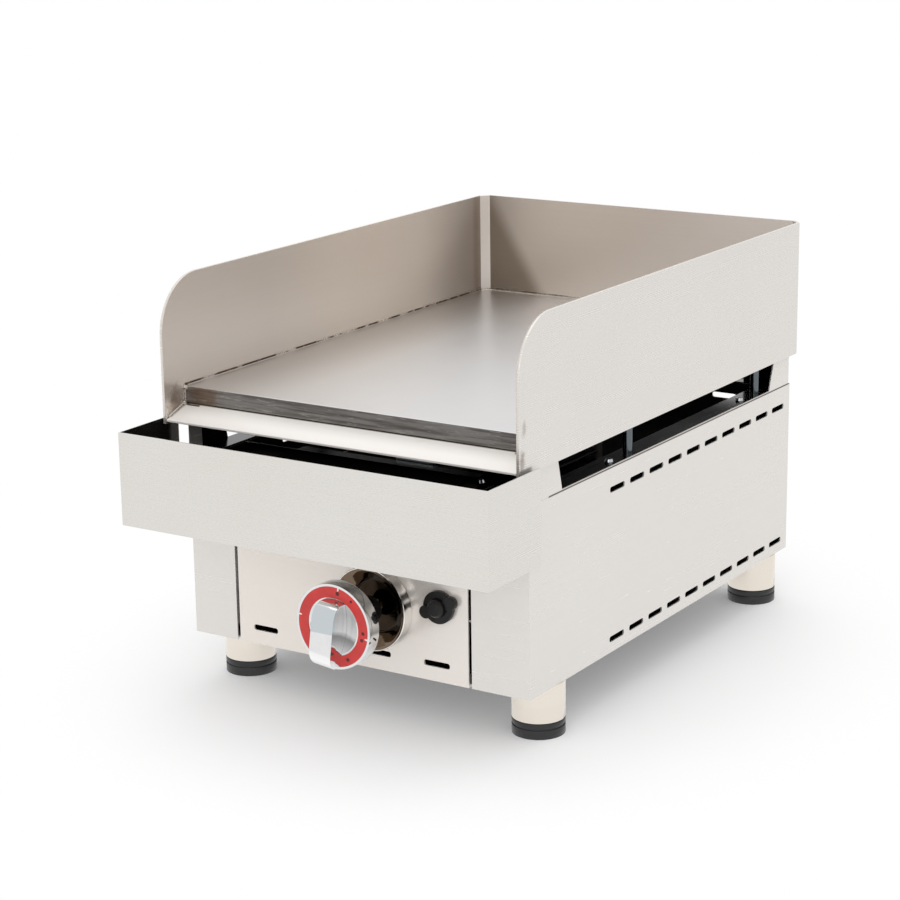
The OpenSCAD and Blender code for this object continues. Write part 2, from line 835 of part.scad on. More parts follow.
module supply_pipe() {
    x1 = inlet_x - bend;
    color("#b87333") {
        rod_x(inlet_y, inlet_z, supply_r, knob_x + port_reach, x1);
        translate([x1, inlet_y + bend, inlet_z]) rotate([0, 0, -90])
            rotate_extrude(angle = 90) translate([bend, 0]) circle(r = supply_r);
        rod_y(inlet_x, inlet_z, supply_r, inlet_y + bend, rear_wall_y - inlet_hex_length);
    }
}

module gas_inlet_fitting() {
    color("goldenrod") difference() {
        union() {
            hex_y(inlet_x, inlet_z, inlet_hex, rear_wall_y - inlet_hex_length, rear_wall_y);
            rod_y(inlet_x, inlet_z, inlet_neck, rear_wall_y, rear_wall_y + inlet_neck_length);
            rod_y(inlet_x, inlet_z, inlet_r, rear_wall_y + inlet_neck_length, rear_wall_y + inlet_length);
        }
        rod_y(inlet_x, inlet_z, inlet_bore, rear_wall_y - inlet_hex_length + 5,
            rear_wall_y + inlet_length + eps);
        rod_y(inlet_x, inlet_z, supply_r - 1, rear_wall_y - inlet_hex_length - 1, rear_wall_y);
    }
}

module inlet_locknut() {
    color("goldenrod") difference() {
        hex_y(inlet_x, inlet_z, inlet_hex + 1, rear_wall_y + sheet, rear_wall_y + sheet + locknut_height);
        rod_y(inlet_x, inlet_z, inlet_neck + nut_fit, rear_wall_y, rear_wall_y + 2 * sheet + locknut_height);
    }
}

module thermocouple() {
    color("silver") translate([-electrode_x, burner_y, bridge_z]) {
        cylinder(r = thermocouple_r, h = tip_rise);
        translate([0, 0, tip_rise]) cylinder(r = tip_r, h = tip_length);
    }
}

module thermocouple_lead() {
    x = -electrode_x;
    z = bridge_z + lead_rise;
    color("#b87333") lead([[x, burner_y - thermocouple_r, z], [x, inlet_y, z],
        [x, inlet_y, knob_z], [knob_x - plug_reach, inlet_y, knob_z]], 1.2, 1.8);
}

module spark_ceramic() {
    color("white") translate([electrode_x, burner_y, bridge_z]) 
        cylinder(r = electrode_r, h = electrode_top);
}

module spark_wire() {
    z0 = bridge_z + electrode_top;
    z1 = z0 + spark_gap_rise;
    color("silver") lead([[electrode_x, burner_y, z0], [electrode_x, burner_y, z1],
        [burner_r - 10, burner_y, z1]], 0.9, 1.3);
}

module ignition_lead() {
    y = shield_front - 4;
    z = bridge_z + ignition_rise;
    color("#222222") lead([[igniter_x, igniter_end, igniter_z], [igniter_x, y, igniter_z],
        [igniter_x, y, z], [electrode_x, y, z], [electrode_x, burner_y - electrode_r, z]], 1.5, 2.1);
}

module igniter_body() {
    color("#222222") difference() {
        union() {
            rod_y(igniter_x, igniter_z, igniter_r, 0, igniter_end - igniter_nose);
            rod_y(igniter_x, igniter_z, igniter_nose_r, igniter_end - igniter_nose, igniter_end);
        }
        rod_y(igniter_x, igniter_z, button_r + seat, -1, button_back + igniter_travel + 2);
    }
}

module igniter_nut() {
    color("#222222") difference() {
        hex_y(igniter_x, igniter_z, igniter_nut_across, sheet, sheet + igniter_nut_height);
        rod_y(igniter_x, igniter_z, igniter_r + nut_fit, 0, 2 * sheet + igniter_nut_height);
    }
}

module igniter_bezel() {
    color("#222222") difference() {
        union() {
            rod_y(igniter_x, igniter_z, igniter_bezel_r, -igniter_bezel_depth, 0);
            for (s = [-1, 1]) rod_y(igniter_x + s * ear_reach * cos(ear_tilt),
                igniter_z + s * ear_reach * sin(ear_tilt), ear_r, -ear_depth, 0);
        }
        rod_y(igniter_x, igniter_z, button_r + seat, -ear_depth - 1, 1);
    }
}

module igniter_button() {
    color("#1a1a1a") {
        rod_y(igniter_x, igniter_z, button_r, button_front, button_back);
        translate([igniter_x, button_front, igniter_z]) rotate([90, 0, 0])
            cylinder(r1 = button_r, r2 = button_r - button_bevel, h = button_dome);
    }
}

// ---------- control knob ----------
module knob_bezel() {
    color("lightgray") difference() {
        rod_y(knob_x, knob_z, bezel_r, -bezel_depth, 0);
        translate([knob_x, -bezel_depth - eps, knob_z]) rotate([-90, 0, 0])
            cylinder(r1 = bezel_r - bezel_rim, r2 = bezel_bore, h = bezel_depth);
        rod_y(knob_x, knob_z, bezel_bore, -bezel_depth, 1);
    }
}

// black disc that closes the bezel around the spindle
module bezel_disc() {
    color("#1c1c1c") difference() {
        rod_y(knob_x, knob_z, bezel_bore + bezel_disc_lap, sheet, 2 * sheet);
        rod_y(knob_x, knob_z, spindle_r + bezel_disc_fit, 0, 3 * sheet);
    }
}

module thrust_ring() {
    color("silver") difference() {
        rod_y(knob_x, knob_z, ring_r, ring_y[0], ring_y[1]);
        rod_y(knob_x, knob_z, spindle_r + run_fit, ring_y[0] - 1, ring_y[1] + 1);
    }
}

module valve_spindle() {
    color("silver") {
        rod_y(knob_x, knob_z, spindle_r, knob_back + spindle_seat, spindle_end);
        rod_y(knob_x, knob_z, shoulder_r, shoulder_y[0], shoulder_y[1]);
    }
}

module knob_hub() {
    color("#1c1c1c") difference() {
        rod_y(knob_x, knob_z, hub_r, knob_face + skirt_web, hub_back);
        rod_y(knob_x, knob_z, spindle_r + tight_fit, knob_back + spindle_seat - 1, 0);
    }
}

module knob_skirt() {
    color("lightgray") difference() {
        rod_y(knob_x, knob_z, knob_r, knob_face, knob_back);
        rod_y(knob_x, knob_z, knob_r - skirt_wall, knob_face + skirt_web, knob_back + 1);
        rod_y(knob_x, knob_z, dial_out, knob_face - 1, knob_face + dial_sink);
        intersection() {
            translate([knob_x, dish_y, knob_z]) sphere(r = dish_r);
            rod_y(knob_x, knob_z, dial_in, knob_face - 1, knob_face + dish_sink + 1);
        }
    }
}

module knob_dial() {
    color("firebrick") difference() {
        rod_y(knob_x, knob_z, dial_out - dish_gap, knob_face + dish_gap, knob_face + dial_sink);
        rod_y(knob_x, knob_z, dial_in, knob_face - 1, knob_face + 1);
    }
}

// side profile of the grip: two rounded ends joined by a flat front
module grip_profile(x) {
    y = grip_front + grip_end_r;
    rod_x(y, grip_top - grip_end_r, grip_end_r, -x, x);
    rod_x(y, grip_end_r - grip_reach, grip_end_r, -x, x);
    block([-x, x], [grip_front, knob_face + 2 * dish_sink], [grip_end_r - grip_reach, grip_top - grip_end_r]);
}

module knob_grip() {
    scoop = 40;
    waist = 1.5;
    waist_rise = 6;
    wide = [-grip_half, grip_half];
    color("lightgray") translate([knob_x, 0, knob_z]) rotate([0, knob_rest_turn, 0]) difference() {
        union() {
            difference() {
                intersection() {
                    grip_profile(grip_half);
                    rod_y(0, 0, dial_in - grip_gap, grip_front - 1, knob_face + dish_sink + 1);
                }
                translate([0, dish_y, 0]) difference() {
                    translate([-knob_r, 0, -knob_r]) cube([2 * knob_r, 2 * dish_r, 2 * knob_r]);
                    sphere(r = dish_r - dish_gap);
                }
            }
            intersection() {
                grip_profile(grip_half);
                rod_y(0, 0, dial_out, grip_front - 1, knob_face);
                block(wide, [grip_front - 1, knob_face], [-knob_r, 0]);
            }
        }
        for (s = [-1, 1]) translate([s * (grip_half + scoop - waist), knob_face - waist_rise, -knob_r])
            cylinder(r = scoop, h = 2 * knob_r);
    }
}

// ---------- grease tray ----------
module grease_tray() {
    zt = z_ledge + seat;
    color("gainsboro") {
        block([-tray_x, tray_x], [-tray_reach, tray_back], [tray_z0, tray_z0 + sheet]);
        block([-tray_x, tray_x], [-tray_reach, -tray_reach + sheet], [tray_z0, tray_z1]);
        for (m = [0, 1]) mirror([m, 0, 0])
            block([tray_x - sheet, tray_x], [-tray_reach, tray_back], [tray_z0, tray_z1]);
        block([-tray_x, tray_x], [tray_back - sheet, tray_back], [tray_z0, zt]);
        block([-tongue_half, tongue_half], [tray_back - sheet, tongue_depth], [zt, zt + sheet]);
    }
}

// ---------- feet ----------
module foot_tube() {
    z0 = foot_base_height + seat;
    difference() {
        union() {
            translate([0, 0, z0]) cylinder(r = foot_r, h = z_low - z0);
            translate([0, 0, z_low - eps]) cylinder(r = spigot_r, h = spigot_height + eps);
        }
        translate([0, 0, z0 - eps]) cylinder(r = foot_r - foot_wall, h = z_low - z0 - foot_cap);
        cylinder(r = foot_stud_r + run_fit, h = 2 * z_low);
    }
}

module foot_tubes() {
    color("#cfc4b0") for (x = [-1, 1], y = foot_ys) translate([x * foot_x, y, 0]) foot_tube();
}

module foot_nuts() {
    color("silver") for (x = [-1, 1], y = foot_ys)
        translate([x * foot_x, y, z_low + 2 * sheet]) nut(foot_nut_across, spigot_r + nut_fit, foot_nut_height);
}

// black foot with its threaded stud
module foot_base(x, y) {
    color("#1c1c1c") translate([x, y, 0]) {
        difference() {
            cylinder(r = foot_r, h = foot_base_height);
            translate([0, 0, foot_base_height - groove_drop]) difference() {
                cylinder(r = foot_r + 1, h = groove_width);
                translate([0, 0, -1]) cylinder(r = foot_r - groove_depth, h = groove_width + 2);
            }
        }
        translate([0, 0, foot_base_height - eps])
            cylinder(r = foot_r - foot_wall - seat, h = inner_base_rise);
        translate([0, 0, foot_base_height])
            cylinder(r = foot_stud_r, h = z_low - foot_base_height + foot_travel - 2);
    }
}

module foot_base_front_left() {
    foot_base(-foot_x, foot_ys[0]);
}

module foot_base_front_right() {
    foot_base(foot_x, foot_ys[0]);
}

module foot_base_rear_left() {
    foot_base(-foot_x, foot_ys[1]);
}

module foot_base_rear_right() {
    foot_base(foot_x, foot_ys[1]);
}

// ---------- assembly ----------
translate([0, y_shift, 0]) side_panel_left();
translate([0, y_shift, 0]) side_panel_right();
translate([0, y_shift, 0]) base_plate();
translate([0, y_shift, 0]) rear_panel();
translate([0, y_shift, 0]) control_panel();
translate([0, y_shift, 0]) tray_retainer();
translate([0, y_shift, 0]) collar_left();
translate([0, y_shift, 0]) collar_right();
translate([0, y_shift, 0]) collar_rear();
translate([0, y_shift, 0]) griddle_plate();
translate([0, y_shift, 0]) splash_guard();
translate([0, y_shift, 0]) grease_chute();
translate([0, y_shift, 0]) plate_studs();
translate([0, y_shift, 0]) stud_washers();
translate([0, y_shift, 0]) stud_nuts();
translate([0, y_shift, 0]) collar_screws();
translate([0, y_shift, 0]) collar_nuts();
translate([0, y_shift, 0]) retainer_screws();
translate([0, y_shift, 0]) rear_panel_screws();
translate([0, y_shift, 0]) base_screws();
translate([0, y_shift, 0]) heat_shield();
translate([0, y_shift, 0]) burner_bridge();
translate([0, y_shift, 0]) bridge_screws();
translate([0, y_shift, 0]) burner_bowl();
translate([0, y_shift, 0]) burner_cap();
translate([0, y_shift, 0]) mixing_tube();
translate([0, y_shift, 0]) air_shutter();
translate([0, y_shift, 0]) injector_bracket();
translate([0, y_shift, 0]) injector();
translate([0, y_shift, 0]) burner_pipe();
translate([0, y_shift, 0]) valve_bracket();
translate([0, y_shift, 0]) valve_body();
translate([0, y_shift, 0]) valve_screws();
translate([0, y_shift, 0]) supply_pipe();
translate([0, y_shift, 0]) gas_inlet_fitting();
translate([0, y_shift, 0]) inlet_locknut();
translate([0, y_shift, 0]) thermocouple();
translate([0, y_shift, 0]) thermocouple_lead();
translate([0, y_shift, 0]) spark_ceramic();
translate([0, y_shift, 0]) spark_wire();
translate([0, y_shift, 0]) ignition_lead();
translate([0, y_shift, 0]) igniter_body();
translate([0, y_shift, 0]) igniter_bezel();
translate([0, y_shift, 0]) igniter_nut();
translate([0, y_shift, 0]) knob_bezel();
translate([0, y_shift, 0]) bezel_disc();
translate([0, y_shift, 0]) foot_tubes();
translate([0, y_shift, 0]) foot_nuts();
translate([0, y_shift, 0]) thrust_ring();
translate([0, y_shift, 0]) valve_spindle();
translate([0, y_shift, 0]) knob_hub();
translate([0, y_shift, 0]) knob_skirt();
translate([0, y_shift, 0]) knob_dial();
translate([0, y_shift, 0]) knob_grip();
translate([0, y_shift, 0]) igniter_button();
translate([0, y_shift, 0]) grease_tray();
translate([0, y_shift, 0]) foot_base_front_left();
translate([0, y_shift, 0]) foot_base_front_right();
translate([0, y_shift, 0]) foot_base_rear_left();
translate([0, y_shift, 0]) foot_base_rear_right();
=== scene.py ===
import json
import math
import bmesh
import bpy
from mathutils import Matrix, Vector


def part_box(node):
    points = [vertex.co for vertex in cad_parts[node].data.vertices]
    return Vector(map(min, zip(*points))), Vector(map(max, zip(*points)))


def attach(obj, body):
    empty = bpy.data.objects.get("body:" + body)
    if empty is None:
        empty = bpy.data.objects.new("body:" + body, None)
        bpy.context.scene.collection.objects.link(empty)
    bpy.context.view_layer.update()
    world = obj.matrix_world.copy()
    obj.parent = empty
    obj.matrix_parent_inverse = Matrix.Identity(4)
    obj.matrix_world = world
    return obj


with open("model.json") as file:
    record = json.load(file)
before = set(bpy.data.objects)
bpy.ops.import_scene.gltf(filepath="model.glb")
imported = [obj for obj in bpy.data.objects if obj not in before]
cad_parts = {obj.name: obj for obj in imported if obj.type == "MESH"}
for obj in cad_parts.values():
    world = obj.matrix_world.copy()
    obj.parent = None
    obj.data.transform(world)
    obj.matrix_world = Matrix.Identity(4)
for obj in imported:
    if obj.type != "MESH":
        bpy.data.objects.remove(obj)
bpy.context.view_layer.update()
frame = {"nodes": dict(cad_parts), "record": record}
NODE = frame["nodes"]

# ---------------------------------------------------------------- camera
YAW, PITCH, ROLL = math.radians(32.77), math.radians(-14.877), math.radians(-0.802)
CAM_AT = Vector((1.0707, -1.7250, 0.7174))
LENS = 96.29


def add_camera():
    forward = Vector((-math.sin(YAW) * math.cos(PITCH), math.cos(YAW) * math.cos(PITCH), math.sin(PITCH)))
    right = Vector((math.cos(YAW), math.sin(YAW), 0))
    up = right.cross(forward)
    r = right * math.cos(ROLL) + up * math.sin(ROLL)
    u = up * math.cos(ROLL) - right * math.sin(ROLL)
    m = Matrix((r, u, -forward)).transposed().to_4x4()
    m.translation = CAM_AT
    data = bpy.data.cameras.new("camera")
    data.lens = LENS
    data.sensor_width = 36
    data.clip_end = 50
    cam = bpy.data.objects.new("camera", data)
    bpy.context.scene.collection.objects.link(cam)
    cam.matrix_world = m
    bpy.context.scene.camera = cam


add_camera()


# ---------------------------------------------------------------- node helpers
class Tree:
    """A small helper for writing node trees."""

    def __init__(self, tree):
        self.t = tree
        tree.nodes.clear()

    def node(self, kind, **values):
        n = self.t.nodes.new(kind)
        inputs = values.pop("inputs", {})
        for k, v in values.items():
            setattr(n, k, v)
        for k, v in inputs.items():
            if isinstance(v, bpy.types.NodeSocket):
                self.t.links.new(v, n.inputs[k])
            else:
                n.inputs[k].default_value = v
        return n

    def link(self, a, b):
        self.t.links.new(a, b)

    def math(self, op, a, b=0.5, clamp=False):
        n = self.node("ShaderNodeMath", operation=op, use_clamp=clamp, inputs={0: a, 1: b})
        return n.outputs[0]

    def ramp(self, fac, stops):
        n = self.node("ShaderNodeValToRGB", inputs={0: fac})
        e = n.color_ramp.elements
        while len(e) < len(stops):
            e.new(0.5)
        for el, (p, c) in zip(e, stops):
            el.position = p
            el.color = (c, c, c, 1) if isinstance(c, (int, float)) else (*c, 1)
        return n.outputs[0]

    def mix(self, fac, a, b, blend="MIX"):
        n = self.node("ShaderNodeMix", data_type="RGBA", blend_type=blend)
        for sock, v in ((n.inputs[0], fac), (n.inputs[6], a), (n.inputs[7], b)):
            if isinstance(v, bpy.types.NodeSocket):
                self.link(v, sock)
            else:
                sock.default_value = v if isinstance(v, (int, float)) else (*v, 1)
        return n.outputs[2]

    def noise(self, vector, scale, detail=3.0, rough=0.5):
        return self.node("ShaderNodeTexNoise", inputs={"Vector": vector, "Scale": scale, "Detail": detail,
                                                       "Roughness": rough}).outputs[0]

    def step(self, value, low, high):
        """0 below low and 1 above high, with a smooth rise; low may be the larger."""
        n = self.node("ShaderNodeMapRange", interpolation_type="SMOOTHSTEP",
                      inputs={"Value": value, "From Min": float(low), "From Max": float(high)})
        return n.outputs[0]

    def mapping(self, vector, scale):
        return self.node("ShaderNodeMapping", inputs={"Vector": vector, "Scale": scale}).outputs[0]


def new_material(name):
    m = bpy.data.materials.new(name)
    m.use_nodes = True
    t = Tree(m.node_tree)
    out = t.node("ShaderNodeOutputMaterial")
    bsdf = t.node("ShaderNodeBsdfPrincipled")
    t.link(bsdf.outputs[0], out.inputs[0])
    coord = t.node("ShaderNodeTexCoord").outputs["Object"]
    return m, t, bsdf, coord


MM = 0.001


def corner(node, which):
    """One corner of a node's box, as a vector: 0 lowest, 1 highest."""
    return Vector(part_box(node)[which])


PANEL_Y = corner("control_panel", 0).y
HALF = corner("side_panel_right", 1).x
TRAY_LOW, TRAY_HIGH = corner("grease_tray", 0), corner("grease_tray", 1)
GUARD_LOW, GUARD_HIGH = corner("splash_guard", 0), corner("splash_guard", 1)
PLATE_LOW, PLATE_HIGH = corner("griddle_plate", 0), corner("griddle_plate", 1)
CASING_END = corner("rear_panel", 1).y
FAR = 9.0


def steel(name, colour, rough, grain=(3, 3, 420), depth=0.006, smudge=0.03, tint=0.02, metal=1.0, zones=()):
    """Sheet steel: fine grain along one direction, smudges, slight colour drift.

    Each zone is (mask maker, colour, roughness) and covers the steel where its mask is 1."""
    m, t, b, co = new_material(name)
    fine = t.noise(t.mapping(co, grain), 1.0, 4.0, 0.6)
    finer = t.noise(t.mapping(co, tuple(3.1 * g for g in grain)), 1.0, 2.0, 0.5)
    cloud = t.noise(co, 9.0, 3.0, 0.55)
    patch = t.noise(co, 38.0, 4.0, 0.6)
    grain_mix = t.math("ADD", t.math("MULTIPLY", fine, 0.65), t.math("MULTIPLY", finer, 0.35))
    shade = t.ramp(grain_mix, [(0.25, 1.0 - tint), (0.75, 1.0 + tint * 0.4)])
    base = t.mix(1.0, colour, shade, "MULTIPLY")
    base = t.mix(1.0, base, t.ramp(cloud, [(0.3, (0.985, 0.975, 0.965)), (0.7, (1.0, 1.0, 1.0))]), "MULTIPLY")
    r = t.math("ADD", t.math("MULTIPLY", grain_mix, 0.10), rough - 0.05)
    r = t.math("ADD", r, t.math("MULTIPLY", t.math("SUBTRACT", patch, 0.5), smudge))
    for maker, zone_colour, zone_rough in zones:
        mask = maker(t, co)
        base = t.mix(mask, base, t.mix(1.0, zone_colour, shade, "MULTIPLY"))
        r = t.math("ADD", t.math("MULTIPLY", r, t.math("SUBTRACT", 1.0, mask)), t.math("MULTIPLY", mask, zone_rough))
    t.link(base, b.inputs["Base Color"])
    t.link(r, b.inputs["Roughness"])
    b.inputs["Metallic"].default_value = metal
    bump = t.node("ShaderNodeBump", inputs={"Strength": depth, "Distance": 0.0004, "Height": grain_mix})
    t.link(bump.outputs[0], b.inputs["Normal"])
    return m


def polished(name, colour, rough=0.05, metallic=1.0, dust=0.03):
    m, t, b, co = new_material(name)
    cloud = t.noise(co, 60.0, 4.0, 0.6)
    t.link(t.mix(1.0, colour, t.ramp(cloud, [(0.3, 0.96), (0.7, 1.0)]), "MULTIPLY"), b.inputs["Base Color"])
    t.link(t.math("ADD", t.math("MULTIPLY", cloud, dust), rough), b.inputs["Roughness"])
    b.inputs["Metallic"].default_value = metallic
    return m


def moulded(name, colour, rough=0.45, grain=900.0, depth=0.08, shine=0.5):
    m, t, b, co = new_material(name)
    b.inputs["Specular IOR Level"].default_value = shine
    cloud = t.noise(co, 45.0, 4.0, 0.6)
    fine = t.noise(co, grain, 2.0, 0.5)
    t.link(t.mix(1.0, colour, t.ramp(cloud, [(0.3, 0.85), (0.7, 1.15)]), "MULTIPLY"), b.inputs["Base Color"])
    t.link(t.math("ADD", t.math("MULTIPLY", fine, 0.15), rough - 0.07), b.inputs["Roughness"])
    bump = t.node("ShaderNodeBump", inputs={"Strength": depth, "Distance": 0.0003, "Height": fine})
    t.link(bump.outputs[0], b.inputs["Normal"])
    return m


def in_box(low, high, soft=0.0002):
    """Mask maker: 1 inside a box, 0 outside, with soft edges."""
    def make(t, co):
        axes = t.node("ShaderNodeSeparateXYZ", inputs={0: co}).outputs
        mask = None
        for axis, lo, hi in zip(axes, low, high):
            for value, edge, sign in ((axis, lo, 1), (axis, hi, -1)):
                if abs(edge) >= FAR:
                    continue
                side = t.step(value, edge - sign * soft, edge + sign * soft)
                mask = side if mask is None else t.math("MULTIPLY", mask, side)
        return mask
    return make


def blot(centre, radius, amount, stretch=(1, 1, 1), scale=160.0):
    """Mask maker: a ragged stain round a point."""
    def make(t, co):
        off = t.node("ShaderNodeVectorMath", operation="SUBTRACT", inputs={0: co, 1: tuple(centre)}).outputs[0]
        off = t.mapping(off, stretch)
        dist = t.node("ShaderNodeVectorMath", operation="LENGTH", inputs={0: off}).outputs["Value"]
        wave = t.math("MULTIPLY", t.math("SUBTRACT", t.noise(co, scale, 4.0, 0.65), 0.5), radius * 1.5)
        near = t.step(t.math("ADD", dist, wave), radius, radius * 0.15)
        return t.math("MULTIPLY", near, amount)
    return make


def facing(axis, sign, threshold=0.7, strength=1.0):
    """Mask maker: 1 on faces that look along one axis."""
    def make(t, co):
        normal = t.node("ShaderNodeTexCoord").outputs["Normal"]
        value = t.node("ShaderNodeSeparateXYZ", inputs={0: normal}).outputs[axis]
        value = t.math("MULTIPLY", value, float(sign))
        return t.math("MULTIPLY", t.step(value, threshold - 0.1, threshold + 0.1), strength)
    return make


def both(*makers):
    """Mask maker: the product of other masks."""
    def make(t, co):
        mask = makers[0](t, co)
        for maker in makers[1:]:
            mask = t.math("MULTIPLY", mask, maker(t, co))
        return mask
    return make


def painted_shadow_wedge(slope, soft=0.012):
    """Mask maker: the left wall's painted shadow, a darker triangle on the back wall beside the left corner."""
    def make(t, co):
        axes = t.node("ShaderNodeSeparateXYZ", inputs={0: co}).outputs
        reach = t.math("MULTIPLY", t.math("SUBTRACT", GUARD_HIGH.z, axes[2]), slope)
        along = t.math("SUBTRACT", axes[0], GUARD_LOW.x + 9 * MM)
        back = t.step(axes[1], GUARD_HIGH.y - 8 * MM, GUARD_HIGH.y - 6 * MM)
        return t.math("MULTIPLY", t.step(t.math("SUBTRACT", reach, along), -soft, soft), back)
    return make


def ragged(maker, scale, low, high):
    """Mask maker: another mask broken up by noise, with one scale for each axis."""
    def make(t, co):
        return t.math("MULTIPLY", maker(t, co), t.step(t.noise(t.mapping(co, scale), 1.0, 4.0, 0.65), low, high))
    return make


def within(radius):
    """Mask maker: 1 within a distance of the knob's axis."""
    def make(t, co):
        off = t.node("ShaderNodeVectorMath", operation="SUBTRACT", inputs={0: co, 1: tuple(KNOB_AT)}).outputs[0]
        off = t.mapping(off, (1, 0, 1))
        dist = t.node("ShaderNodeVectorMath", operation="LENGTH", inputs={0: off}).outputs["Value"]
        return t.step(dist, radius + 0.1 * MM, radius - 0.1 * MM)
    return make


def painted_reflection_chrome(name, bands, tint, rough=0.06, zones=()):
    """Chrome with painted reflections: brightness runs in bands with the height a face looks at, standing in for a
    room's reflection.
    """
    m, t, b, co = new_material(name)
    normal = t.node("ShaderNodeTexCoord").outputs["Normal"]
    axes = t.node("ShaderNodeSeparateXYZ", inputs={0: normal}).outputs
    cloud = t.math("MULTIPLY", t.math("SUBTRACT", t.noise(co, 70.0, 3.0, 0.6), 0.5), 0.10)
    lean = t.math("ADD", t.math("MULTIPLY", axes[0], 0.16), cloud)
    height = t.math("ADD", t.math("MULTIPLY", t.math("ADD", axes[2], lean), 0.5), 0.5)
    base = t.mix(1.0, tint, t.ramp(height, bands), "MULTIPLY")
    for maker, zone_colour, _ in zones:
        base = t.mix(maker(t, co), base, zone_colour)
    t.link(base, b.inputs["Base Color"])
    t.link(t.math("ADD", t.math("MULTIPLY", t.noise(co, 60.0, 4.0, 0.6), 0.03), rough), b.inputs["Roughness"])
    b.inputs["Metallic"].default_value = 1.0
    return m


PALE = (0.775, 0.75, 0.72)
BROWN = (0.16, 0.075, 0.03)
STRAW = (0.55, 0.36, 0.17)
SHEET = 1.5 * MM
# Inside the casing behind the panel: here the steel is painted near-black as painted shade.
inside_walls = in_box((-HALF + SHEET * 0.8, PANEL_Y + 16 * MM, -FAR), (HALF - SHEET * 0.8, CASING_END - SHEET * 0.8, FAR))
# Inside the tray: painted near-black, as painted shade with a greasy film.
inside_tray = in_box((TRAY_LOW.x + SHEET * 0.7, TRAY_LOW.y + SHEET * 0.7, TRAY_LOW.z + SHEET * 0.7),
                     (TRAY_HIGH.x - SHEET * 0.7, PANEL_Y - SHEET * 0.7, FAR))
# The tray's part behind the panel, painted near-black: painted shade inside the casing.
painted_shade_tray_rear = in_box((-HALF, PANEL_Y - SHEET, -FAR), (HALF, FAR, FAR))
inside_guard = in_box((GUARD_LOW.x + SHEET, -FAR, -FAR), (GUARD_HIGH.x - SHEET, GUARD_HIGH.y - SHEET, FAR))
plate_top = PLATE_HIGH.z
left_seam = GUARD_LOW.x + 2.5 * MM
right_seam = GUARD_HIGH.x - 2.5 * MM

seam_z = (plate_top - 0.5 * MM, plate_top + 2.2 * MM)
seam_left = in_box((GUARD_LOW.x + SHEET, PLATE_LOW.y, seam_z[0]), (GUARD_LOW.x + 4 * MM, GUARD_HIGH.y, seam_z[1]), 0.0004)
seam_back = in_box((GUARD_LOW.x + SHEET, GUARD_HIGH.y - 6 * MM, seam_z[0]), (GUARD_HIGH.x - SHEET, GUARD_HIGH.y - SHEET, seam_z[1]), 0.0004)
# Rear-left corner inside the guard, painted darker: painted shade.
painted_shade_corner = in_box((-FAR, GUARD_HIGH.y - 70 * MM, -FAR), (GUARD_LOW.x + 3 * MM, FAR, FAR), 0.055)
# Middle of the left wall's inner face, painted lighter: painted light.
painted_light_wall = in_box((-FAR, PLATE_LOW.y + 170 * MM, -FAR), (GUARD_LOW.x + 3 * MM, GUARD_HIGH.y - 130 * MM, FAR), 0.07)
# The back wall's inner face, painted darker than the side walls: painted shade.
painted_shade_back_wall = in_box((-FAR, GUARD_HIGH.y - 7 * MM, -FAR), (FAR, FAR, FAR), 0.0004)
# Corner facet, painted lighter: painted highlight.
facet = in_box((GUARD_LOW.x + 1.8 * MM, GUARD_HIGH.y - 9.4 * MM, -FAR),
               (GUARD_LOW.x + 9.4 * MM, GUARD_HIGH.y - 1.8 * MM, FAR), 0.0003)
streak = in_box((-FAR, GUARD_HIGH.y - 22 * MM, -FAR), (GUARD_LOW.x + 3 * MM, GUARD_HIGH.y - 12 * MM, FAR), 0.004)
# Left strip of the plate by the seam, painted darker: painted shade and reflection of the left wall.
painted_shade_plate_left = in_box((-FAR, -FAR, -FAR), (PLATE_LOW.x + 55 * MM, FAR, FAR), 0.05)
# Top strip of the chute, painted lighter: painted light.
painted_light_chute_top = in_box((-FAR, -FAR, corner("grease_chute", 1).z - 9 * MM), (FAR, FAR, FAR), 0.004)
plate_face = in_box((-FAR, -FAR, PLATE_LOW.z + 0.7 * MM), (FAR, FAR, plate_top - 0.5 * MM), 0.0003)
LEDGE = corner("collar_right", 0).z
ledge_seam = in_box((-FAR, PANEL_Y + 30 * MM, LEDGE - 0.5 * MM), (FAR, FAR, LEDGE + 0.9 * MM), 0.0003)
# Inside the casing below the ledge: also painted near-black, as painted shade.
low_inside = in_box((-HALF + SHEET * 0.8, PANEL_Y + 16 * MM, -FAR), (HALF - SHEET * 0.8, CASING_END - SHEET * 0.8, LEDGE), 0.0004)
# Near-black painted shade: used inside the casing, on the panel behind the knob's cup and under the chute.
PAINTED_SHADE_DARK = (0.014, 0.012, 0.011)

KNOB_AT = (corner("knob_skirt", 0) + corner("knob_skirt", 1)) / 2
BEZEL_LIP = (corner("knob_bezel", 1).x - corner("knob_bezel", 0).x) / 2 - 0.9 * MM
CUP_R = 22.6 * MM
# Brightness bands by the height a face looks at: painted reflections for the bezel, skirt and grip.
WALL_REFLECTION_BANDS = [(0.0, 0.75), (0.20, 0.55), (0.30, 0.35), (0.40, 0.70), (0.50, 0.88), (0.64, 0.90), (0.665, 0.12),
              (0.70, 0.05), (0.73, 0.75), (0.76, 0.10), (0.80, 0.06), (0.83, 0.65), (0.90, 0.30), (0.95, 0.55),
              (1.0, 0.40)]
SKIRT_REFLECTION_BANDS = [(0.0, 0.85), (0.16, 0.55), (0.30, 0.72), (0.40, 0.62), (0.52, 0.80), (0.56, 0.30), (0.60, 0.45),
               (0.66, 0.70), (0.80, 0.50), (0.86, 0.32), (0.92, 0.42), (1.0, 0.38)]
GRIP_REFLECTION_BANDS = [(0.0, 0.60), (0.25, 0.95), (0.44, 0.90), (0.50, 0.78), (0.56, 0.60), (0.64, 0.95), (0.70, 0.45),
              (0.80, 0.75), (1.0, 0.80)]
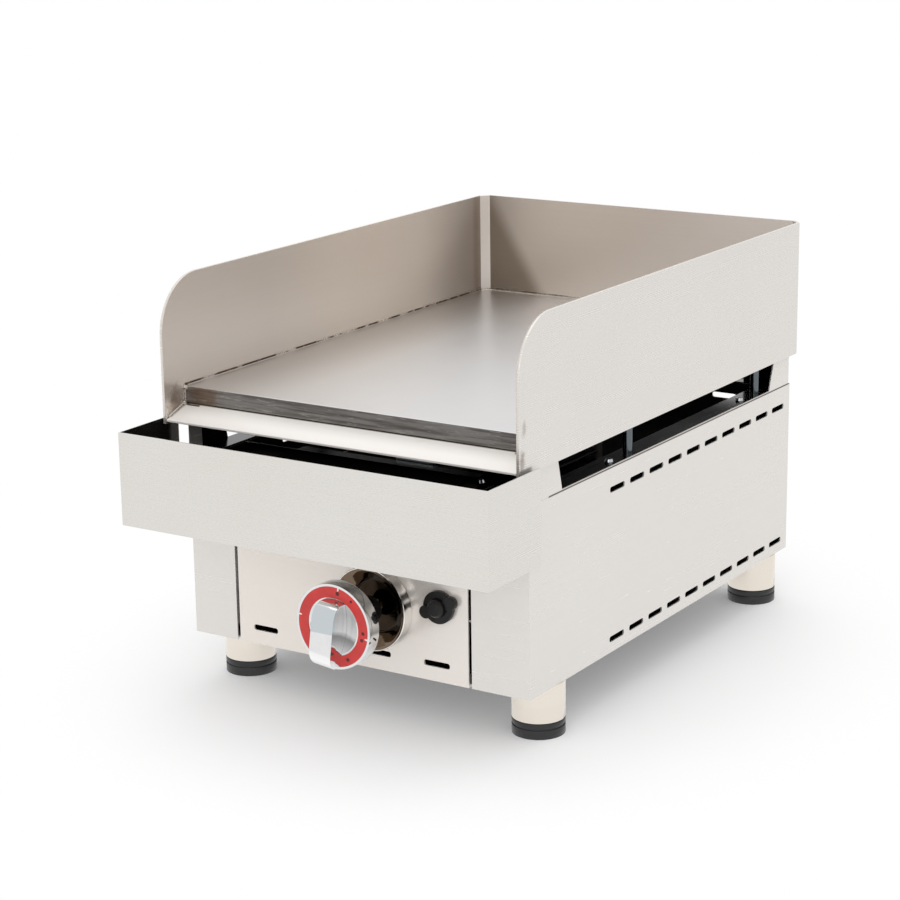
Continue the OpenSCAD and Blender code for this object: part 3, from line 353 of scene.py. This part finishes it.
grip_low, grip_high = corner("knob_grip", 0), corner("knob_grip", 1)
GRIP_MID = (grip_low.z + grip_high.z) / 2 + 4 * MM
grip_front = grip_low.y + 5 * MM
# Upper front of the grip, painted blue-grey: painted reflection.
painted_reflection_grip_top = in_box((-FAR, -FAR, GRIP_MID), (FAR, grip_front, FAR), 0.0006)

M = {
    # The inside walls and the part below the ledge are painted near-black: painted shade inside the casing.
    "casing_steel": steel("casing_steel", PALE, 0.26, metal=0.55, zones=[
        (inside_walls, PAINTED_SHADE_DARK, 0.16), (low_inside, PAINTED_SHADE_DARK, 0.55), (ledge_seam, (0.16, 0.13, 0.11), 0.4)]),
    # The panel's inside faces and its face within the knob's cup are painted near-black: painted shade.
    "panel_steel": steel("panel_steel", (0.87, 0.82, 0.77), 0.24, metal=0.35, zones=[
        (inside_walls, PAINTED_SHADE_DARK, 0.55), (within(CUP_R), PAINTED_SHADE_DARK, 0.3)]),
    # The chute's top strip is painted lighter (painted light) and its underside near-black (painted shade).
    "chute_steel": steel("chute_steel", (0.77, 0.74, 0.71), 0.36, metal=0.2, zones=[
        (painted_light_chute_top, (0.96, 0.93, 0.89), 0.4), (facing(2, -1, 0.2), PAINTED_SHADE_DARK, 0.3)]),
    # The tray's inside is painted near-black (painted shade with a greasy film). Its part behind the panel is painted
    # near-black as painted shade.
    "tray_steel": steel("tray_steel", (0.745, 0.725, 0.69), 0.27, metal=0.6, zones=[
        (inside_tray, (0.028, 0.025, 0.023), 0.15), (painted_shade_tray_rear, (0.028, 0.025, 0.023), 0.15)]),
    # Inside faces painted near-black: painted shade inside the casing.
    "back_steel": steel("back_steel", (0.66, 0.65, 0.63), 0.30, metal=0.7, zones=[
        (inside_walls, PAINTED_SHADE_DARK, 0.55)]),
    "guard_steel": steel("guard_steel", (0.755, 0.73, 0.695), 0.27, metal=0.6, zones=[
        (inside_guard, (0.70, 0.635, 0.575), 0.27),
        # These zones paint: light on the left wall's middle, shade on the back wall and in the rear-left corner, the
        # left wall's shadow on the back wall, and a highlight on the corner facet.
        (both(inside_guard, painted_light_wall), (0.90, 0.80, 0.70), 0.27),
        (both(inside_guard, painted_shade_back_wall), (0.60, 0.54, 0.485), 0.27),
        (both(inside_guard, painted_shade_corner), (0.24, 0.20, 0.165), 0.27),
        (both(inside_guard, painted_shadow_wedge(0.62)), (0.29, 0.24, 0.195), 0.27),
        (both(inside_guard, streak), (0.34, 0.25, 0.20), 0.27),
        (both(inside_guard, facet), (0.86, 0.81, 0.76), 0.24),
        (ragged(seam_left, (60, 60, 60), 0.42, 0.56), (0.10, 0.06, 0.035), 0.4),
        (ragged(seam_back, (60, 60, 60), 0.42, 0.56), (0.10, 0.06, 0.035), 0.4),
        (blot((GUARD_LOW.x + 1 * MM, PANEL_Y - 10 * MM, plate_top - 14 * MM), 0.012, 0.6, (0.5, 1, 0.5)), BROWN, 0.3),
        (blot((right_seam, PANEL_Y - 20 * MM, plate_top - 14 * MM), 0.006, 0.6, (0.4, 1.1, 0.5)), BROWN, 0.3),
        (blot((right_seam, PANEL_Y - 17 * MM, plate_top + 10 * MM), 0.005, 0.35, (0.4, 1.2, 0.5)), BROWN, 0.3),
    ]),
    "plate_steel": steel("plate_steel", (0.76, 0.76, 0.765), 0.34, grain=(260, 5, 260), depth=0.03, metal=0.85, zones=[
        # The plate's left strip is painted darker: painted shade and reflection of the left wall.
        (painted_shade_plate_left, (0.50, 0.475, 0.455), 0.34),
        (both(facing(1, -1), plate_face), (0.30, 0.285, 0.27), 0.42),
        (both(facing(1, -1), ragged(plate_face, (14, 14, 330), 0.40, 0.66)), (0.15, 0.135, 0.125), 0.42),
        (both(facing(1, -1), ragged(plate_face, (60, 60, 500), 0.55, 0.70)), (0.42, 0.40, 0.38), 0.42),
        (both(facing(1, -1), in_box((-FAR, -FAR, -FAR), (FAR, FAR, PLATE_LOW.z + 1.2 * MM))), (0.05, 0.04, 0.035), 0.5),
        (both(facing(1, -1), blot((PLATE_LOW.x + 0.02, PLATE_LOW.y, plate_top - 6 * MM), 0.022, 0.6)), BROWN, 0.5),
        # Underside painted near-black: painted shade under the plate.
        (facing(2, -1), (0.015, 0.013, 0.012), 0.35),
    ]),
    # Near-black steel: painted shade on the parts inside the casing.
    "dark_steel": steel("dark_steel", (0.016, 0.013, 0.011), 0.2),
    # Inside the bezel's lip the cone is painted dark brown, darker still within the cup: painted reflection of the dark
    # cup.
    "cone_chrome": painted_reflection_chrome("cone_chrome", WALL_REFLECTION_BANDS, (1.0, 0.985, 0.96), 0.05, zones=[
        (within(BEZEL_LIP), (0.17, 0.125, 0.088), 0.12), (within(CUP_R), (0.05, 0.036, 0.025), 0.12)]),
    # Near-black bezel disc behind the knob: painted shade.
    "cup_painted_shade": steel("cup_painted_shade", (0.035, 0.025, 0.017), 0.1, grain=(45, 45, 45), depth=0.0, tint=0.9),
    "stud_zinc": polished("stud_zinc", (0.13, 0.15, 0.16), 0.15),
    "zinc": polished("zinc", (0.50, 0.52, 0.54), 0.2),
    "burner_iron": moulded("burner_iron", (0.008, 0.008, 0.008), 0.55, 500.0, 0.3, 0.25),
    # Near-black, used for the heat shield: painted shade inside the casing.
    "soot": moulded("soot", (0.010, 0.009, 0.008), 0.85, 400.0, 0.1, 0.05),
    "brass": polished("brass", (0.75, 0.58, 0.28), 0.25),
    "copper": polished("copper", (0.72, 0.42, 0.27), 0.25),
    # Dark grey ceramic: painted shade on the igniter's ceramic inside the casing.
    "ceramic": polished("ceramic", (0.10, 0.09, 0.08), 0.35, 0.0),
    "black_plastic": moulded("black_plastic", (0.011, 0.010, 0.010), 0.34, shine=0.28),
    # Knob chrome with painted reflections; the grip's upper front gets a painted blue-grey reflection.
    "chrome": painted_reflection_chrome("chrome", SKIRT_REFLECTION_BANDS, (1.0, 1.0, 1.0)),
    "grip_chrome": painted_reflection_chrome("grip_chrome", GRIP_REFLECTION_BANDS, (1.0, 1.0, 1.0), zones=[(painted_reflection_grip_top, (0.56, 0.60, 0.62), 0)]),
    "dial_red": moulded("dial_red", (0.62, 0.035, 0.03), 0.3, 1500.0, 0.02),
    "foot_steel": steel("foot_steel", (0.82, 0.76, 0.68), 0.2, grain=(2, 2, 60), depth=0.02, tint=0.02),
    "foot_black": moulded("foot_black", (0.012, 0.012, 0.014), 0.36),
    "weld": steel("weld", (0.50, 0.46, 0.42), 0.3, grain=(900, 900, 900), depth=0.3, tint=0.2),
    "ink": moulded("ink", (0.09, 0.012, 0.012), 0.5, 1200.0, 0.02),
    "tick_white": moulded("tick_white", (0.85, 0.82, 0.80), 0.4, 1200.0, 0.02),
}
SLOT_OF = {s["node"]: s["material_slot"] for s in frame["record"]["subparts"]}
SPECIAL = {"grease_tray": "tray_steel", "bezel_disc": "cup_painted_shade", "knob_bezel": "cone_chrome",
           "grease_chute": "chute_steel", "control_panel": "panel_steel", "knob_grip": "grip_chrome",
           "heat_shield": "soot", "plate_studs": "stud_zinc"}
ROUNDED = {"grease_tray": 0.35,
           "splash_guard": 0.5, "griddle_plate": 0.6, "grease_chute": 0.4, "collar_left": 0.25,
           "collar_right": 0.25, "foot_tubes": 0.5, "foot_base_front_left": 0.6, "foot_base_front_right": 0.6,
           "foot_base_rear_left": 0.6, "foot_base_rear_right": 0.6, "knob_skirt": 0.9, "knob_grip": 1.6,
           "knob_bezel": 0.8, "igniter_bezel": 0.7, "igniter_button": 0.5}

for name, obj in NODE.items():
    obj.data.materials.clear()
    obj.data.materials.append(M[SPECIAL.get(name, SLOT_OF[name])])
    if name in ROUNDED:
        weld = obj.modifiers.new("weld", "WELD")
        weld.merge_threshold = 0.00002
        bevel = obj.modifiers.new("edge", "BEVEL")
        bevel.width = ROUNDED[name] * MM
        bevel.segments = 2 if ROUNDED[name] < 0.8 else 3
        bevel.limit_method = "ANGLE"
        bevel.angle_limit = math.radians(35)
        bevel.use_clamp_overlap = True
        bevel.harden_normals = ROUNDED[name] < 0.8


# ---------------------------------------------------------------- built pieces
def mesh_piece(name, bm, material, body, smooth=True):
    me = bpy.data.meshes.new(name)
    bmesh.ops.recalc_face_normals(bm, faces=bm.faces)
    bm.to_mesh(me)
    bm.free()
    for p in me.polygons:
        p.use_smooth = smooth
    me.materials.append(M[material])
    o = bpy.data.objects.new(name, me)
    bpy.context.scene.collection.objects.link(o)
    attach(o, body)
    return o


def hash01(i, j=0):
    """A repeatable number from 0 to 1."""
    v = math.sin(i * 12.9898 + j * 78.233) * 43758.5453
    return v - math.floor(v)


def bead_into(bm, path, radius, pitch, sides=8, seed=0):
    """A rippled weld bead along straight runs."""
    points = []
    for a, b in zip(path[:-1], path[1:]):
        steps = max(2, int((b - a).length / (pitch / 3)))
        points += [a.lerp(b, k / steps) for k in range(steps)]
    points.append(path[-1])
    rings = []
    for k, p in enumerate(points):
        ahead = (points[min(k + 1, len(points) - 1)] - points[max(k - 1, 0)]).normalized()
        side = ahead.cross(Vector((0, 0, 1)))
        side = side.normalized() if side.length > 0.1 else ahead.cross(Vector((1, 0, 0))).normalized()
        up = side.cross(ahead)
        swell = 0.82 + 0.2 * abs(math.sin(math.pi * k / 3)) + 0.14 * (hash01(k // 3, seed) - 0.5)
        end = min(1.0, 0.35 + 0.3 * min(k, len(points) - 1 - k))
        r = radius * swell * end
        rings.append([bm.verts.new(p + side * (r * math.cos(q)) + up * (r * math.sin(q)))
                      for q in (2 * math.pi * s / sides for s in range(sides))])
    for r0, r1 in zip(rings[:-1], rings[1:]):
        for s in range(sides):
            bm.faces.new((r0[s], r0[(s + 1) % sides], r1[(s + 1) % sides], r1[s]))
    bm.faces.new(rings[0])
    bm.faces.new(rings[-1])


def blob_into(bm, at, radius, squash, seed):
    """A lumpy drop of weld metal."""
    made = bmesh.ops.create_icosphere(bm, subdivisions=3, radius=1.0)["verts"]
    for i, v in enumerate(made):
        d = v.co.normalized()
        lump = 1 + 0.16 * math.sin(4 * d.x + seed) * math.cos(5 * d.y + 2 * seed) + 0.1 * math.sin(9 * d.z + seed)
        v.co = at + Vector((d.x * squash[0], d.y * squash[1], d.z * squash[2])) * radius * lump


def add_welds():
    bm = bmesh.new()
    y0, y1 = PLATE_LOW.y, PLATE_HIGH.y
    z = PLATE_HIGH.z
    facet = 8 * MM
    xl, xr = PLATE_LOW.x, PLATE_HIGH.x
    back = [Vector((xl, y1 - facet, z)), Vector((xl + facet, y1, z)), Vector((xr - facet, y1, z)),
            Vector((xr, y1 - facet, z))]
    bead_into(bm, back, 1.5 * MM, 2.4 * MM, seed=3)
    for x in (xl, xr):
        bead_into(bm, [Vector((x, y0 + 3 * MM, z)), Vector((x, y1 - facet, z))], 0.75 * MM, 1.6 * MM, seed=5)
    zb = PLATE_LOW.z
    bead_into(bm, [Vector((xl + 2 * MM, y0 - 0.1 * MM, zb - 0.3 * MM)), Vector((xr - 2 * MM, y0 - 0.1 * MM, zb - 0.3 * MM))],
              0.6 * MM, 1.4 * MM, seed=9)
    lip = corner("grease_chute", 0)
    for x, seed in ((xl, 1), (xr, 2)):
        bead_into(bm, [Vector((x, y0 - 1 * MM, zb + 1 * MM)), Vector((x, lip.y + 3 * MM, lip.z + 3.5 * MM))],
                  1.9 * MM, 2.2 * MM, seed=seed)
        bead_into(bm, [Vector((x, y0 - 0.2 * MM, z - 3 * MM)), Vector((x, y0 - 0.2 * MM, zb + 1 * MM))],
                  1.1 * MM, 2.0 * MM, seed=seed + 4)
        blob_into(bm, Vector((x, y0 - 0.5 * MM, z - 1.5 * MM)), 2.6 * MM, (1, 0.9, 0.9), seed)
        blob_into(bm, Vector((x, y0 - 2 * MM, zb + 0.5 * MM)), 2.8 * MM, (1, 1, 1.1), seed + 2)
    mesh_piece("weld_beads", bm, "weld", "casing")


def on_dial(radius, degrees, y):
    """A point on the knob's face, by clock angle from the top, clockwise."""
    a = math.radians(degrees)
    return Vector((KNOB.x + radius * math.sin(a), y, KNOB.z + radius * math.cos(a)))


skirt_low, skirt_high = corner("knob_skirt", 0), corner("knob_skirt", 1)
KNOB = (skirt_low + skirt_high) / 2
DIAL_Y = corner("knob_dial", 0).y
DIAL_R = (corner("knob_dial", 1).x - corner("knob_dial", 0).x) / 2


def disc_into(bm, at, radius, thick, sides=20):
    """A small raised dot that looks along -Y."""
    front = [bm.verts.new(at + Vector((radius * math.cos(a), -thick, radius * math.sin(a))))
             for a in (2 * math.pi * k / sides for k in range(sides))]
    back = [bm.verts.new(v.co + Vector((0, 2 * thick, 0))) for v in front]
    bm.faces.new(front)
    bm.faces.new(list(reversed(back)))
    for k in range(sides):
        bm.faces.new((front[k], back[k], back[(k + 1) % sides], front[(k + 1) % sides]))


def tick_into(bm, degrees, r0, r1, half_width, thick):
    """A short raised mark that points at the dial's middle."""
    a = math.radians(degrees)
    along = Vector((math.sin(a), 0, math.cos(a)))
    across = Vector((math.cos(a), 0, -math.sin(a)))
    base = Vector((KNOB.x, DIAL_Y, KNOB.z))
    plan = [base + along * r + across * w for r, w in ((r0, -half_width), (r1, -half_width * 1.6),
                                                       (r1, half_width * 1.6), (r0, half_width))]
    front = [bm.verts.new(p + Vector((0, -thick, 0))) for p in plan]
    back = [bm.verts.new(p + Vector((0, thick, 0))) for p in plan]
    bm.faces.new(front)
    bm.faces.new(list(reversed(back)))
    for k in range(4):
        bm.faces.new((front[k], back[k], back[(k + 1) % 4], front[(k + 1) % 4]))


def add_dial_marks():
    thick = 0.06 * MM
    mid = (DIAL_R + 24 * MM) / 2
    bm = bmesh.new()
    for radius, degrees, size in ((mid, 10, 1.7), (mid + 1 * MM, 37, 1.2), (mid, 92, 1.5), (mid - 0.5 * MM, 104, 1.5),
                                  (mid, 152, 1.5)):
        disc_into(bm, on_dial(radius, degrees, DIAL_Y), size * MM, thick)
    mesh_piece("dial_dots", bm, "ink", "knob", smooth=False)
    bm = bmesh.new()
    for degrees in (10, 100, 190, 280):
        tick_into(bm, degrees, DIAL_R - 2.4 * MM, DIAL_R + 0.05 * MM, 0.5 * MM, thick)
    mesh_piece("dial_ticks", bm, "tick_white", "knob", smooth=False)


add_welds()
add_dial_marks()

# ---------------------------------------------------------------- stage
AMBIENT = 0.95
FLOOR_GLOW = 0.19
FADE = (0.27, 0.50)
SHINE_FADE = (0.12, 0.42)
SHINE_BASE = 0.72


def add_floor():
    size = 14.0
    bm = bmesh.new()
    bmesh.ops.create_grid(bm, x_segments=8, y_segments=8, size=size)
    me = bpy.data.meshes.new("floor")
    bm.to_mesh(me)
    bm.free()
    floor = bpy.data.objects.new("floor", me)
    bpy.context.scene.collection.objects.link(floor)
    m = bpy.data.materials.new("floor_paper")
    m.use_nodes = True
    t = Tree(m.node_tree)
    out = t.node("ShaderNodeOutputMaterial")
    diffuse = t.node("ShaderNodeBsdfDiffuse", inputs={"Color": (0.80, 0.80, 0.805, 1)})
    near_glow = t.node("ShaderNodeEmission", inputs={"Color": (1, 1, 1, 1)})
    path = t.node("ShaderNodeLightPath")
    seen = t.math("MAXIMUM", path.outputs["Is Camera Ray"], path.outputs["Is Glossy Ray"])
    t.link(t.math("MULTIPLY", seen, FLOOR_GLOW), near_glow.inputs["Strength"])
    shine = path.outputs["Is Glossy Ray"]
    add = t.node("ShaderNodeAddShader")
    t.link(diffuse.outputs[0], add.inputs[0])
    t.link(near_glow.outputs[0], add.inputs[1])
    white = t.node("ShaderNodeEmission", inputs={"Color": (1, 1, 1, 1), "Strength": 1.0})
    co = t.node("ShaderNodeTexCoord").outputs["Object"]
    off = t.node("ShaderNodeVectorMath", operation="SUBTRACT", inputs={0: co, 1: (0.02, -0.02, 0.0)}).outputs[0]
    dist = t.node("ShaderNodeVectorMath", operation="LENGTH",
                  inputs={0: t.mapping(off, (1.25, 1.0, 1.0))}).outputs["Value"]
    away = t.math("MULTIPLY", t.step(dist, FADE[0], FADE[1]), path.outputs["Is Camera Ray"])
    lit = t.math("MULTIPLY", t.step(dist, SHINE_FADE[0], SHINE_FADE[1]), 1.0 - SHINE_BASE)
    lit = t.math("MULTIPLY", t.math("ADD", lit, SHINE_BASE), shine)
    away = t.math("MAXIMUM", away, lit)
    mix = t.node("ShaderNodeMixShader", inputs={0: away})
    t.link(add.outputs[0], mix.inputs[1])
    t.link(white.outputs[0], mix.inputs[2])
    t.link(mix.outputs[0], out.inputs[0])
    me.materials.append(m)


def add_world():
    w = bpy.data.worlds.new("studio")
    bpy.context.scene.world = w
    w.use_nodes = True
    t = Tree(w.node_tree)
    out = t.node("ShaderNodeOutputWorld")
    path = t.node("ShaderNodeLightPath")
    seen = t.math("MAXIMUM", path.outputs["Is Camera Ray"], path.outputs["Is Glossy Ray"])
    seen = t.math("MAXIMUM", seen, path.outputs["Is Transmission Ray"])
    strength = t.math("ADD", t.math("MULTIPLY", seen, 1.0 - AMBIENT), AMBIENT)
    bg = t.node("ShaderNodeBackground", inputs={"Color": (1, 1, 1, 1)})
    t.link(strength, bg.inputs["Strength"])
    t.link(bg.outputs[0], out.inputs[0])


def add_area(name, at, aim, size, power, colour=(1, 1, 1)):
    data = bpy.data.lights.new(name, "AREA")
    data.shape = "RECTANGLE"
    data.size, data.size_y = size
    data.energy = power
    data.color = colour
    o = bpy.data.objects.new(name, data)
    bpy.context.scene.collection.objects.link(o)
    o.location = at
    o.rotation_euler = (Vector(aim) - Vector(at)).to_track_quat("-Z", "Y").to_euler()
    return o


add_floor()
add_world()
add_area("top_light", (-0.1, 0.25, 2.5), (0, 0, 0.1), (2.4, 2.4), 8)
add_area("front_light", (0.9, -2.4, 1.3), (0, 0, 0.2), (1.4, 1.2), 7)

view = bpy.context.scene.view_settings
view.view_transform = "Standard"
